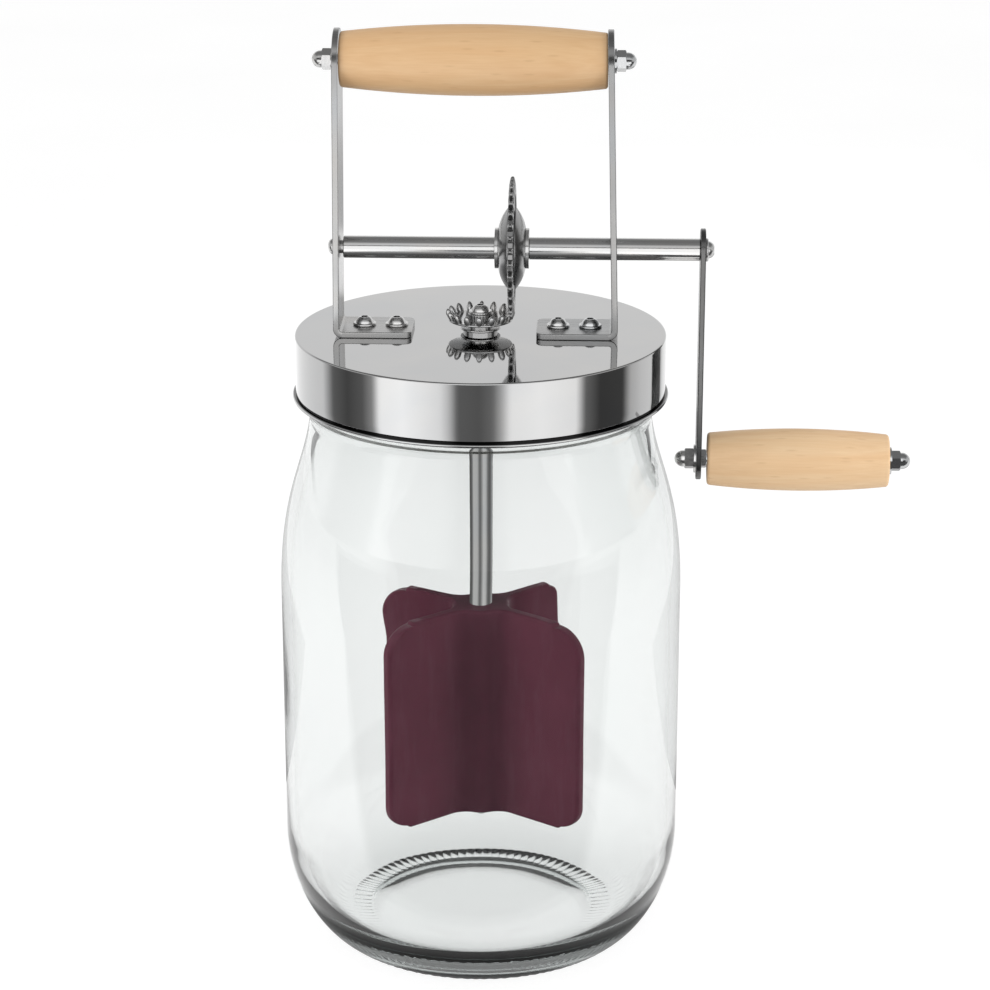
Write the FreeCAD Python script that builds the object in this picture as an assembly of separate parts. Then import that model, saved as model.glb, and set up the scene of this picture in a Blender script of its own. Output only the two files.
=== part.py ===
"""Hand-crank butter churn: a glass jar, a steel lid with a carrying frame, a bevelled crank drive and a paddle.

Units are millimetres. The origin is where the jar's axis meets the surface it stands on, +Z is up,
+X points to the side with the crank handle, and the front of the churn faces -Y.
Every separate piece of the churn is written to parts/NAME.step.
"""
import FreeCAD, Part
import math
import os

V = FreeCAD.Vector
X_AXIS = V(1, 0, 0)
Y_AXIS = V(0, 1, 0)
Z_AXIS = V(0, 0, 1)

# --- driving dimensions ---------------------------------------------------------------------------
# Jar
JAR_R = 77.5            # body radius
FOOT_R = 53.6           # radius of the flat base, where the heel starts
HEEL_H = 42.5           # height at which the heel reaches the full radius
BODY_TOP = 142.0        # end of the straight wall, start of the shoulder
NECK_BASE = 212.0       # end of the shoulder
NECK_R = 62.8
RIM_TOP = 240.0
WALL = 3.7
GLASS_FLOOR = 8.5       # thickness of the glass floor
FIT_GAP = 0.3           # gap between faces of pieces that move past each other

# Lid and its closure
LID_TOP = 244.0
LID_R = 70.3
SHEET = 1.0             # thickness of the lid's sheet
SKIRT_H = 21.5
HEM_R = 1.35            # radius of the rolled hem under the skirt
SEAL_T = 1.8
LUGS = 4
RIB_Z = 223.0           # underside of the neck's ribs
RIB_H = 3.0
RIB_OUT = 2.4
RIB_ARC = 40.0          # degrees that each rib covers
LUG_ARC = 34.0

# Carrying frame
STRIP_W = 23.0
STRIP_T = 2.3
BEND_R = 1.2            # inner radius of the bracket's bend
LEFT_FACE = -54.0       # outer face of the left upright
RIGHT_FACE = 49.5       # outer face of the right upright
LEFT_FOOT_END = -25.5
RIGHT_FOOT_END = 21.3
CARRY_Z = LID_TOP + 103.4
CARRY_R = 13.1          # grip radius in the middle
CARRY_END_R = 10.3
LEFT_SCREWS = (-43.9, -31.7)
RIGHT_SCREWS = (29.4, 41.5)

# M4 hardware
ROD_R = 2.0
TAPPED_R = 2.02
CLEAR_R = 2.1
FLANGE_R = 4.4
NUT_AF = 7.0
NUT_H = 3.2
CAP_NUT_LEN = 7.3
WASHER_R = 4.6
WASHER_T = 0.8
RUN = 0.06              # radial clearance of a running fit

# Crank
CRANK_Z = LID_TOP + 32.5
TUBE_R = 4.2
GEAR_X = 11.9           # middle plane of the drive gear
GEAR_TEETH = 34
GEAR_R = 26.8
GEAR_ROOT_R = 23.4
GEAR_T = 2.2
BOSS_R = 15.2
BOSS_FLANGE_R = 7.6
BOSS_REACH = 5.3        # from the gear's face to the outside of the boss's washer
ARM_X = 82.4            # inner face of the crank arm
ARM_T = 2.0
ARM_R = 8.0             # half the arm's width, and the radius of its ends
THROW = 82.0            # from the crank axis to the hand grip's axis
GRIP_Z = CRANK_Z - THROW
GRIP_X0 = 86.7
GRIP_X1 = 155.8
GRIP_R = 11.9
GRIP_END_R = 10.1

# Dasher
SHAFT_R = 4.4
SPIGOT_R = 3.0          # the shaft's upper end, inside the pinion
SPIGOT_Z = LID_TOP + 1.3
HUB_TOP = LID_TOP + 7.3
PINION_TEETH = 16
PINION_R = 13.6
CROWN_Z = LID_TOP + 2.2
CROWN_T = 1.7
TOOTH_TIP_Z = LID_TOP + 8.3
PADDLE_TOP = 135.3
PADDLE_BOTTOM = 50.0
VANE_T = 4.6
HUB_R = 11.0
VANES = (               # direction in degrees, reach, radius of the upper outer corner
    (150.0, 46.0, 11.0),
    (42.0, 41.0, 4.0),
    (-36.0, 49.0, 12.0),
    (221.0, 46.0, 11.0),
)
LOWER_CORNER_R = 9.0


# --- small helpers --------------------------------------------------------------------------------
def cylinder(radius, base, length, axis=Z_AXIS):
    return Part.makeCylinder(radius, length, base, axis)


def tube(outer, inner, base, length, axis=Z_AXIS):
    return cylinder(outer, base, length, axis).cut(cylinder(inner, base, length, axis))


def line(a, b):
    return Part.LineSegment(a, b).toShape()


def arc(a, middle, b):
    return Part.Arc(a, middle, b).toShape()


def bezier(*poles):
    curve = Part.BezierCurve()
    curve.setPoles(list(poles))
    return curve.toShape()


def revolve(edges, axis=Z_AXIS, centre=V(0, 0, 0)):
    face = Part.Face(Part.Wire(edges))
    return face.revolve(centre, axis, 360)


def revolve_points(points, axis=Z_AXIS, centre=V(0, 0, 0)):
    face = Part.Face(Part.makePolygon(points + [points[0]]))
    return face.revolve(centre, axis, 360)


def rz(radius, z):
    """A point of a profile that is turned about Z."""
    return V(radius, 0, z)


def aim(shape, base, axis):
    """Move a shape that was built upwards from the origin so that it stands at base along axis."""
    moved = shape.copy()
    moved.Placement = FreeCAD.Placement(base, FreeCAD.Rotation(Z_AXIS, axis))
    return moved


def turned(shape, degrees):
    copy = shape.copy()
    copy.rotate(V(0, 0, 0), Z_AXIS, degrees)
    return copy


def sector(inner, outer, z, height, degrees):
    """A block of a ring, centred on +X."""
    block = tube(outer, inner, V(0, 0, z), height)
    half = math.radians(degrees / 2)
    reach = outer / math.cos(half) + 1
    corner_a = V(reach * math.cos(half), reach * math.sin(half), z)
    corner_b = V(reach * math.cos(half), -reach * math.sin(half), z)
    wedge = Part.Face(Part.makePolygon([V(0, 0, z), corner_b, corner_a, V(0, 0, z)]))
    return block.common(wedge.extrude(V(0, 0, height)))


def fuse_all(shapes):
    return shapes[0].multiFuse(shapes[1:]).removeSplitter()


def group(shapes):
    """Separate solids in one node."""
    return Part.makeCompound(shapes)


# --- hardware -------------------------------------------------------------------------------------
def flanged_screw(shank):
    """Button-head screw with a washer face. The flange's underside is at z = 0 and the shank points down."""
    flange_t, dome_r, dome_top, flat_r = 1.0, 3.3, 3.2, 1.7
    head = revolve([
        line(rz(0, 0), rz(FLANGE_R - 0.2, 0)),
        arc(rz(FLANGE_R - 0.2, 0), rz(FLANGE_R, flange_t / 2), rz(FLANGE_R - 0.3, flange_t)),
        line(rz(FLANGE_R - 0.3, flange_t), rz(dome_r, flange_t)),
        arc(rz(dome_r, flange_t), rz(2.75, 2.35), rz(flat_r, dome_top)),
        line(rz(flat_r, dome_top), rz(0, dome_top)),
        line(rz(0, dome_top), rz(0, 0)),
    ])
    socket = hexagon(2.5, dome_top - 1.6, 1.7)
    tip = 0.5
    body = revolve_points([rz(0, 0), rz(ROD_R, 0), rz(ROD_R, tip - shank), rz(ROD_R - tip, -shank), rz(0, -shank)])
    return head.fuse(body).cut(socket).removeSplitter()


def hexagon(across_flats, z, height):
    corner = across_flats / math.sqrt(3)
    points = [V(corner * math.cos(math.radians(60 * k)), corner * math.sin(math.radians(60 * k)), z)
              for k in range(7)]
    return Part.Face(Part.makePolygon(points)).extrude(V(0, 0, height))


def hex_nut(across_flats, height, bore):
    """Nut on the plane z = 0, with its corners turned off at both ends."""
    flat_r = across_flats / 2
    corner = across_flats / math.sqrt(3)
    bevel = (corner - flat_r) * math.tan(math.radians(30))
    turned_blank = revolve_points([
        rz(0, 0), rz(flat_r, 0), rz(corner, bevel), rz(corner, height - bevel), rz(flat_r, height), rz(0, height)])
    blank = hexagon(across_flats, 0, height).common(turned_blank)
    return blank.cut(cylinder(bore, V(0, 0, -1), height + 2))


def cap_nut():
    """Domed M4 nut with a blind thread, open at z = 0."""
    hex_h = 3.5
    dome_r = 3.15
    dome_side = CAP_NUT_LEN - dome_r
    corner = NUT_AF / math.sqrt(3)
    bevel = (corner - NUT_AF / 2) * math.tan(math.radians(30))
    blank = hexagon(NUT_AF, 0, hex_h).common(revolve_points([
        rz(0, 0), rz(NUT_AF / 2, 0), rz(corner, bevel), rz(corner, hex_h - bevel),
        rz(NUT_AF / 2, hex_h), rz(0, hex_h)]))
    diagonal = dome_r * math.sqrt(0.5)
    dome = revolve([
        line(rz(0, hex_h - 0.5), rz(dome_r, hex_h - 0.5)),
        line(rz(dome_r, hex_h - 0.5), rz(dome_r, dome_side)),
        arc(rz(dome_r, dome_side), rz(diagonal, dome_side + diagonal), rz(0, CAP_NUT_LEN)),
        line(rz(0, CAP_NUT_LEN), rz(0, hex_h - 0.5)),
    ])
    roof = 1.4              # metal left above the thread
    bore = cylinder(TAPPED_R, V(0, 0, -1), CAP_NUT_LEN - roof + 1)
    return blank.fuse(dome).cut(bore).removeSplitter()


def washer(outer=WASHER_R, thickness=WASHER_T, bore=CLEAR_R):
    return tube(outer, bore, V(0, 0, 0), thickness)


def threaded_rod(x0, x1, z):
    """Plain rod along X with turned-off ends."""
    tip = 0.4
    points = [V(x0, 0, z), V(x0, 0, z + ROD_R - tip), V(x0 + tip, 0, z + ROD_R), V(x1 - tip, 0, z + ROD_R),
              V(x1, 0, z + ROD_R - tip), V(x1, 0, z)]
    return revolve_points(points, X_AXIS, V(0, 0, z))


# --- jar ------------------------------------------------------------------------------------------
def glass_jar():
    inner_r = JAR_R - WALL
    neck_in = NECK_R - 3.5
    lip = 1.3
    outside = [
        line(rz(0, 0), rz(FOOT_R, 0)),
        bezier(rz(FOOT_R, 0), rz(65.6, 0), rz(JAR_R, 21.5), rz(JAR_R, HEEL_H)),
        line(rz(JAR_R, HEEL_H), rz(JAR_R, BODY_TOP)),
        bezier(rz(JAR_R, BODY_TOP), rz(JAR_R, 176), rz(66, 190), rz(NECK_R, NECK_BASE)),
        line(rz(NECK_R, NECK_BASE), rz(NECK_R, RIM_TOP - lip)),
        arc(rz(NECK_R, RIM_TOP - lip), rz(NECK_R - 0.38, RIM_TOP - 0.38), rz(NECK_R - lip, RIM_TOP)),
        line(rz(NECK_R - lip, RIM_TOP), rz(neck_in + lip, RIM_TOP)),
    ]
    inside = [
        arc(rz(neck_in + lip, RIM_TOP), rz(neck_in + 0.38, RIM_TOP - 0.38), rz(neck_in, RIM_TOP - lip)),
        line(rz(neck_in, RIM_TOP - lip), rz(neck_in, NECK_BASE - 1)),
        bezier(rz(neck_in, NECK_BASE - 1), rz(62.2, 188.5), rz(inner_r, 173), rz(inner_r, BODY_TOP - 2)),
        line(rz(inner_r, BODY_TOP - 2), rz(inner_r, HEEL_H + 3.5)),
        bezier(rz(inner_r, HEEL_H + 3.5), rz(inner_r, 22), rz(62, GLASS_FLOOR), rz(40, GLASS_FLOOR)),
        line(rz(40, GLASS_FLOOR), rz(0, GLASS_FLOOR)),
        line(rz(0, GLASS_FLOOR), rz(0, 0)),
    ]
    blank = revolve(outside + inside)
    rib = sector(NECK_R - 1.0, NECK_R + RIB_OUT, RIB_Z, RIB_H, RIB_ARC)
    ribs = [turned(rib, 360 / LUGS * k + 45) for k in range(LUGS)]
    return fuse_all([blank] + ribs)


# --- lid ------------------------------------------------------------------------------------------
def lid_shell():
    """Pressed steel lid with a rolled hem, and holes for the bush and the bracket screws."""
    edge = 1.6              # outer radius of the lid's upper edge
    inner = LID_R - SHEET
    under = LID_TOP - SHEET
    skirt_end = LID_TOP - SKIRT_H
    hem_r = LID_R + 1.2 - HEM_R
    hem_z = skirt_end - HEM_R + 0.2
    k = math.sqrt(0.5)
    pressed = revolve([
        line(rz(0, LID_TOP), rz(LID_R - edge, LID_TOP)),
        arc(rz(LID_R - edge, LID_TOP), rz(LID_R - edge + edge * k, LID_TOP - edge + edge * k),
            rz(LID_R, LID_TOP - edge)),
        line(rz(LID_R, LID_TOP - edge), rz(LID_R, hem_z)),
        line(rz(LID_R, hem_z), rz(inner, hem_z)),
        line(rz(inner, hem_z), rz(inner, under)),
        line(rz(inner, under), rz(0, under)),
        line(rz(0, under), rz(0, LID_TOP)),
    ])
    hem = revolve([Part.Circle(rz(hem_r, hem_z), Y_AXIS, HEM_R).toShape()])
    bush_hole = cylinder(6.1, V(0, 0, under - 1), 4)
    screw_holes = [cylinder(CLEAR_R, V(x, 0, under - 1), 4) for x in LEFT_SCREWS + RIGHT_SCREWS]
    return pressed.fuse(hem).cut(group([bush_hole] + screw_holes)).removeSplitter()


def lid_liner():
    """Moulded ring inside the skirt, with four lugs that hook under the jar's ribs."""
    outer = LID_R - SHEET - 0.1
    inner = NECK_R + RIB_OUT + 0.8
    web_in = NECK_R - 5.0
    web_t = LID_TOP - SHEET - RIM_TOP - SEAL_T
    bottom = RIB_Z - 3.0
    top = LID_TOP - SHEET
    ring = revolve_points([
        rz(outer - 1.9, bottom), rz(outer - 1.9, RIB_Z + 0.5), rz(outer, RIB_Z + 2.4), rz(outer, top),
        rz(web_in, top), rz(web_in, top - web_t), rz(inner, top - web_t), rz(inner, bottom)])
    lug = sector(NECK_R + 0.6, inner + 0.6, bottom, 3.0 - FIT_GAP, LUG_ARC)
    lugs = [turned(lug, 360 / LUGS * k + 45) for k in range(LUGS)]
    return fuse_all([ring] + lugs)


def sealing_ring():
    return tube(NECK_R + 0.4, NECK_R - 4.6, V(0, 0, RIM_TOP), SEAL_T)


def shaft_bush():
    """Flanged bearing for the dasher shaft, through the middle of the lid."""
    flange = cylinder(6.5, V(0, 0, LID_TOP), 1.0)
    body = cylinder(6.0, V(0, 0, LID_TOP - 9), 9)
    return flange.fuse(body).cut(cylinder(SHAFT_R + RUN, V(0, 0, LID_TOP - 10), 12)).removeSplitter()


def bush_nut():
    return aim(hex_nut(16.0, 3.0, 6.02), V(0, 0, LID_TOP - SHEET - 3.0), Z_AXIS)


# --- carrying frame -------------------------------------------------------------------------------
def bracket(face_x, foot_end, screws, crank_hole):
    """Strip bent to an L: the upright's outer face is at face_x, and the foot points inwards."""
    inward = 1 if foot_end > face_x else -1
    length = abs(foot_end - face_x)
    bend = BEND_R + STRIP_T
    k = 1 - math.sqrt(0.5)
    top = CARRY_Z + STRIP_W / 2

    def at(u, w):
        return V(face_x + inward * u, -STRIP_W / 2, LID_TOP + w)

    height = top - LID_TOP
    section = Part.Face(Part.Wire([
        arc(at(0, bend), at(bend * k, bend * k), at(bend, 0)),
        line(at(bend, 0), at(length, 0)),
        line(at(length, 0), at(length, STRIP_T)),
        line(at(length, STRIP_T), at(bend, STRIP_T)),
        arc(at(bend, STRIP_T), at(STRIP_T + BEND_R * k, STRIP_T + BEND_R * k), at(STRIP_T, bend)),
        line(at(STRIP_T, bend), at(STRIP_T, height)),
        line(at(STRIP_T, height), at(0, height)),
        line(at(0, height), at(0, bend)),
    ]))
    strip = section.extrude(V(0, STRIP_W, 0))
    mid = face_x + inward * STRIP_T / 2
    cut_x0 = min(face_x, foot_end) - 5
    lower = Part.makeBox(length + 10, STRIP_W, CARRY_Z - LID_TOP, V(cut_x0, -STRIP_W / 2, LID_TOP))
    round_top = cylinder(STRIP_W / 2, V(cut_x0, 0, CARRY_Z), length + 10, X_AXIS)
    strip = strip.common(lower.fuse(round_top))
    corner_edges = [e for e in strip.Edges
                    if abs(e.BoundBox.XLength) < 1e-6 and abs(e.BoundBox.YLength) < 1e-6
                    and abs(e.BoundBox.XMin - foot_end) < 1e-6]
    strip = strip.makeFillet(3.0, corner_edges)
    holes = [cylinder(CLEAR_R, V(x, 0, LID_TOP - 1), 5) for x in screws]
    holes.append(cylinder(CLEAR_R, V(mid - 3, 0, CARRY_Z), 6, X_AXIS))
    holes.append(cylinder(crank_hole, V(mid - 3, 0, CRANK_Z), 6, X_AXIS))
    return strip.cut(group(holes))


def bracket_screws():
    screw = flanged_screw(8.5)
    return group([aim(screw, V(x, 0, LID_TOP + STRIP_T), Z_AXIS) for x in LEFT_SCREWS + RIGHT_SCREWS])


def bracket_nuts():
    nut = hex_nut(NUT_AF, NUT_H, TAPPED_R)
    return group([aim(nut, V(x, 0, LID_TOP - SHEET - NUT_H), Z_AXIS) for x in LEFT_SCREWS + RIGHT_SCREWS])


def barrel_grip(x0, x1, z, end_r, mid_r, bore):
    """Turned wooden grip along X, fatter in the middle, with rounded ends."""
    nose = 1.2
    k = nose * (1 - math.sqrt(0.5))
    middle = (x0 + x1) / 2

    def at(x, r):
        return V(x, 0, z + r)

    return revolve([
        line(at(x0, bore), at(x0, end_r - nose)),
        arc(at(x0, end_r - nose), at(x0 + k, end_r - k), at(x0 + nose, end_r)),
        arc(at(x0 + nose, end_r), at(middle, mid_r), at(x1 - nose, end_r)),
        arc(at(x1 - nose, end_r), at(x1 - k, end_r - k), at(x1, end_r - nose)),
        line(at(x1, end_r - nose), at(x1, bore)),
        line(at(x1, bore), at(x0, bore)),
    ], X_AXIS, V(0, 0, z))


def carry_grip():
    return barrel_grip(LEFT_FACE + STRIP_T, RIGHT_FACE - STRIP_T, CARRY_Z, CARRY_END_R, CARRY_R, ROD_R + 0.15)


def carry_rod():
    past = WASHER_T + 5.0
    return threaded_rod(LEFT_FACE - past, RIGHT_FACE + past, CARRY_Z)


def carry_washers():
    return group([aim(washer(), V(LEFT_FACE, 0, CARRY_Z), -X_AXIS),
                  aim(washer(), V(RIGHT_FACE, 0, CARRY_Z), X_AXIS)])


def carry_cap_nuts():
    return group([aim(cap_nut(), V(LEFT_FACE - WASHER_T, 0, CARRY_Z), -X_AXIS),
                  aim(cap_nut(), V(RIGHT_FACE + WASHER_T, 0, CARRY_Z), X_AXIS)])


# --- crank ----------------------------------------------------------------------------------------
def crank_shaft():
    """Steel core that everything on the crank axis is clamped on."""
    bar = cylinder(ROD_R + 0.5, V(LEFT_FACE - 0.4, 0, CRANK_Z), ARM_X - LEFT_FACE + 0.4, X_AXIS)
    tapped = 9.0
    left = cylinder(1.52, V(LEFT_FACE - 1, 0, CRANK_Z), tapped, X_AXIS)
    right = cylinder(TAPPED_R, V(ARM_X - tapped, 0, CRANK_Z), tapped + 1, X_AXIS)
    return bar.cut(group([left, right]))


def shaft_tube(x0, x1):
    """Spacer tube on the crank shaft, with its outer ends broken."""
    bevel = 0.3
    bore = ROD_R + 0.55

    def at(x, r):
        return V(x, 0, CRANK_Z + r)

    return revolve_points([at(x0, bore), at(x0, TUBE_R - bevel), at(x0 + bevel, TUBE_R), at(x1 - bevel, TUBE_R),
                           at(x1, TUBE_R - bevel), at(x1, bore)], X_AXIS, V(0, 0, CRANK_Z))


def gear_outline():
    """Closed outline of the drive gear in the YZ plane, with a tooth space at the bottom."""
    pitch = 2 * math.pi / GEAR_TEETH
    root_half = 0.27 * pitch
    tip_half = 0.12 * pitch
    points = []
    for tooth in range(GEAR_TEETH):
        centre = -math.pi / 2 + (tooth + 0.5) * pitch
        for radius, angle in ((GEAR_ROOT_R, -root_half), (GEAR_R, -tip_half),
                              (GEAR_R, tip_half), (GEAR_ROOT_R, root_half)):
            a = centre + angle
            points.append(V(0, radius * math.cos(a), CRANK_Z + radius * math.sin(a)))
    return points + [points[0]]


def drive_gear():
    face_x = GEAR_X - GEAR_T / 2
    blank = Part.Face(Part.makePolygon(gear_outline())).extrude(V(GEAR_T, 0, 0))
    blank.translate(V(face_x, 0, 0))
    recess = 0.4            # depth of the turned recess between the rim and the boss
    rim_r = GEAR_ROOT_R - 2.6
    groove = tube(rim_r, BOSS_R - 1.5, V(face_x, 0, CRANK_Z), recess, X_AXIS)
    other = groove.copy()
    other.translate(V(GEAR_T - recess, 0, 0))
    bore = cylinder(ROD_R + 0.52, V(face_x - 1, 0, CRANK_Z), GEAR_T + 2, X_AXIS)
    return blank.cut(group([groove, other, bore]))


def gear_boss(side):
    """Dished boss against one face of the gear; side is -1 on the left and 1 on the right."""
    face_x = GEAR_X + side * GEAR_T / 2
    depth = BOSS_REACH - 1.2
    bore = ROD_R + 0.52

    def at(along, r):
        return V(face_x + side * along, 0, CRANK_Z + r)

    return revolve([
        line(at(0, bore), at(0, BOSS_R)),
        line(at(0, BOSS_R), at(0.5, BOSS_R)),
        arc(at(0.5, BOSS_R), at(depth * 0.62, 12.1), at(depth, BOSS_FLANGE_R - 0.6)),
        line(at(depth, BOSS_FLANGE_R - 0.6), at(depth, bore)),
        line(at(depth, bore), at(0, bore)),
    ], X_AXIS, V(0, 0, CRANK_Z))


def boss_washers():
    ring = washer(BOSS_FLANGE_R, 1.2, ROD_R + 0.52)
    reach = GEAR_T / 2 + BOSS_REACH - 1.2
    return group([aim(ring, V(GEAR_X - reach, 0, CRANK_Z), -X_AXIS),
                  aim(ring, V(GEAR_X + reach, 0, CRANK_Z), X_AXIS)])


def crank_end_screw():
    """Small button-head screw and its collar outside the left upright."""
    head = revolve([
        line(rz(0, 0), rz(3.0, 0)),
        line(rz(3.0, 0), rz(3.0, 0.6)),
        arc(rz(3.0, 0.6), rz(2.55, 1.75), rz(1.2, 2.3)),
        line(rz(1.2, 2.3), rz(0, 2.3)),
        line(rz(0, 2.3), rz(0, 0)),
    ])
    body = cylinder(1.5, V(0, 0, -7.5), 7.5)
    socket = hexagon(1.9, 1.2, 1.5)
    return aim(head.fuse(body).cut(socket).removeSplitter(), V(LEFT_FACE - 0.4, 0, CRANK_Z), -X_AXIS)


def crank_arm():
    """Flat bar with round ends, from the crank axis down to the hand grip."""
    plate = Part.makeBox(ARM_T, 2 * ARM_R, THROW, V(ARM_X, -ARM_R, GRIP_Z))
    ends = [cylinder(ARM_R, V(ARM_X, 0, z), ARM_T, X_AXIS) for z in (CRANK_Z, GRIP_Z)]
    holes = [cylinder(CLEAR_R, V(ARM_X - 1, 0, z), ARM_T + 2, X_AXIS) for z in (CRANK_Z, GRIP_Z)]
    bar = fuse_all([plate] + ends).cut(group(holes))
    rims = [e for e in bar.Edges
            if e.BoundBox.XLength < 1e-6 and max(e.BoundBox.YLength, e.BoundBox.ZLength) > 2 * ARM_R - 0.1]
    return bar.makeFillet(0.35, rims)


def crank_arm_screw():
    return aim(flanged_screw(ARM_T + 7.5), V(ARM_X + ARM_T, 0, CRANK_Z), X_AXIS)


def grip_spindle():
    return threaded_rod(ARM_X - WASHER_T - 5.2, GRIP_X1 + FIT_GAP + WASHER_T + 5.2, GRIP_Z)


def spindle_lock_nut():
    start = ARM_X + ARM_T
    return aim(hex_nut(6.4, GRIP_X0 - FIT_GAP - start, TAPPED_R), V(start, 0, GRIP_Z), X_AXIS)


def spindle_washers():
    return group([aim(washer(5.4), V(ARM_X, 0, GRIP_Z), -X_AXIS),
                  aim(washer(5.2), V(GRIP_X1 + FIT_GAP, 0, GRIP_Z), X_AXIS)])


def spindle_cap_nuts():
    return group([aim(cap_nut(), V(ARM_X - WASHER_T, 0, GRIP_Z), -X_AXIS),
                  aim(cap_nut(), V(GRIP_X1 + FIT_GAP + WASHER_T, 0, GRIP_Z), X_AXIS)])


def crank_grip():
    return barrel_grip(GRIP_X0, GRIP_X1, GRIP_Z, GRIP_END_R, GRIP_R, ROD_R + RUN)


# --- dasher ---------------------------------------------------------------------------------------
def dasher_shaft():
    """Shaft with a thinner spigot for the pinion, tapped at both ends."""
    bottom = PADDLE_BOTTOM + 4.0
    main = cylinder(SHAFT_R, V(0, 0, bottom), SPIGOT_Z - bottom)
    spigot = cylinder(SPIGOT_R, V(0, 0, SPIGOT_Z), HUB_TOP - 0.3 - SPIGOT_Z)
    tapped = [cylinder(TAPPED_R, V(0, 0, HUB_TOP - 9), 10), cylinder(TAPPED_R, V(0, 0, bottom - 1), 11)]
    return main.fuse(spigot).cut(group(tapped)).removeSplitter()


def crown_tooth():
    """One upstanding tooth, leaning outwards and thinner at its tip."""
    def outline(r0, r1, half, z):
        return Part.makePolygon([V(r0, -half, z), V(r1, -half, z), V(r1, half, z), V(r0, half, z), V(r0, -half, z)])

    foot = outline(9.6, 12.1, 1.2, CROWN_Z + CROWN_T - 0.5)
    tip = outline(11.9, PINION_R, 0.5, TOOTH_TIP_Z)
    return Part.makeLoft([foot, tip], True, True)


def pinion():
    """Crown pinion: a hub, a thin disc and a ring of upstanding teeth, with a tooth on +X."""
    hub = cylinder(5.25, V(0, 0, SPIGOT_Z), HUB_TOP - SPIGOT_Z)
    disc = cylinder(12.1, V(0, 0, CROWN_Z), CROWN_T)
    teeth = [turned(crown_tooth(), 360 / PINION_TEETH * k) for k in range(PINION_TEETH)]
    return fuse_all([disc, hub] + teeth).cut(cylinder(SPIGOT_R + 0.02, V(0, 0, LID_TOP), 20))


def pinion_screw():
    return aim(flanged_screw(8.0), V(0, 0, HUB_TOP), Z_AXIS)


def retaining_collar():
    """Ring under the bush that keeps the shaft from lifting out."""
    return tube(7.4, SHAFT_R + 0.02, V(0, 0, LID_TOP - 9 - FIT_GAP - 4.0), 4.0)


def vane(direction, reach, corner):
    """Upright vane from the axis outwards, rounded at its upper and lower outer corners."""
    low = LOWER_CORNER_R
    k = 1 - math.sqrt(0.5)
    half = VANE_T / 2

    def at(r, z):
        return V(r, -half, z)

    face = Part.Face(Part.Wire([
        line(at(0, PADDLE_BOTTOM), at(reach - low, PADDLE_BOTTOM)),
        arc(at(reach - low, PADDLE_BOTTOM), at(reach - low * k, PADDLE_BOTTOM + low * k),
            at(reach, PADDLE_BOTTOM + low)),
        line(at(reach, PADDLE_BOTTOM + low), at(reach, PADDLE_TOP - corner)),
        arc(at(reach, PADDLE_TOP - corner), at(reach - corner * k, PADDLE_TOP - corner * k),
            at(reach - corner, PADDLE_TOP)),
        line(at(reach - corner, PADDLE_TOP), at(0, PADDLE_TOP)),
        line(at(0, PADDLE_TOP), at(0, PADDLE_BOTTOM)),
    ]))
    return turned(face.extrude(V(0, VANE_T, 0)), direction)


def paddle():
    """Moulded four-vane paddle with a thick middle."""
    height = PADDLE_TOP - PADDLE_BOTTOM
    hub = cylinder(HUB_R, V(0, 0, PADDLE_BOTTOM), height)
    blank = fuse_all([hub] + [vane(*v) for v in VANES])
    valleys = [e for e in blank.Edges
               if e.BoundBox.ZLength > height - 0.01 and e.BoundBox.XLength < 1e-4
               and math.hypot(e.BoundBox.XMin, e.BoundBox.YMin) < HUB_R + 0.5]
    blank = blank.makeFillet(8.0, valleys)
    return blank.cut(cylinder(SHAFT_R + 0.02, V(0, 0, PADDLE_BOTTOM - 1), height + 2))


def paddle_screw():
    """Screw and wide washer that hold the paddle on the shaft from below."""
    return aim(flanged_screw(9.0), V(0, 0, PADDLE_BOTTOM - 1.0), -Z_AXIS)


def paddle_washer():
    return aim(washer(8.0, 1.0), V(0, 0, PADDLE_BOTTOM), -Z_AXIS)


# --- output ---------------------------------------------------------------------------------------
PIECES = {
    "glass_jar": glass_jar,
    "sealing_ring": sealing_ring,
    "lid_shell": lid_shell,
    "lid_liner": lid_liner,
    "shaft_bush": shaft_bush,
    "bush_nut": bush_nut,
    "left_bracket": lambda: bracket(LEFT_FACE, LEFT_FOOT_END, LEFT_SCREWS, ROD_R + 0.5 + RUN),
    "right_bracket": lambda: bracket(RIGHT_FACE, RIGHT_FOOT_END, RIGHT_SCREWS, TUBE_R + RUN),
    "bracket_screws": bracket_screws,
    "bracket_nuts": bracket_nuts,
    "carry_grip": carry_grip,
    "carry_rod": carry_rod,
    "carry_washers": carry_washers,
    "carry_cap_nuts": carry_cap_nuts,
    "crank_shaft": crank_shaft,
    "left_shaft_tube": lambda: shaft_tube(LEFT_FACE + STRIP_T + FIT_GAP, GEAR_X - GEAR_T / 2 - BOSS_REACH),
    "right_shaft_tube": lambda: shaft_tube(GEAR_X + GEAR_T / 2 + BOSS_REACH, ARM_X),
    "drive_gear": drive_gear,
    "left_gear_boss": lambda: gear_boss(-1),
    "right_gear_boss": lambda: gear_boss(1),
    "boss_washers": boss_washers,
    "crank_end_screw": crank_end_screw,
    "crank_arm": crank_arm,
    "crank_arm_screw": crank_arm_screw,
    "grip_spindle": grip_spindle,
    "spindle_lock_nut": spindle_lock_nut,
    "spindle_washers": spindle_washers,
    "spindle_cap_nuts": spindle_cap_nuts,
    "crank_grip": crank_grip,
    "dasher_shaft": dasher_shaft,
    "pinion": pinion,
    "pinion_screw": pinion_screw,
    "retaining_collar": retaining_collar,
    "paddle": paddle,
    "paddle_washer": paddle_washer,
    "paddle_screw": paddle_screw,
}

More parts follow.
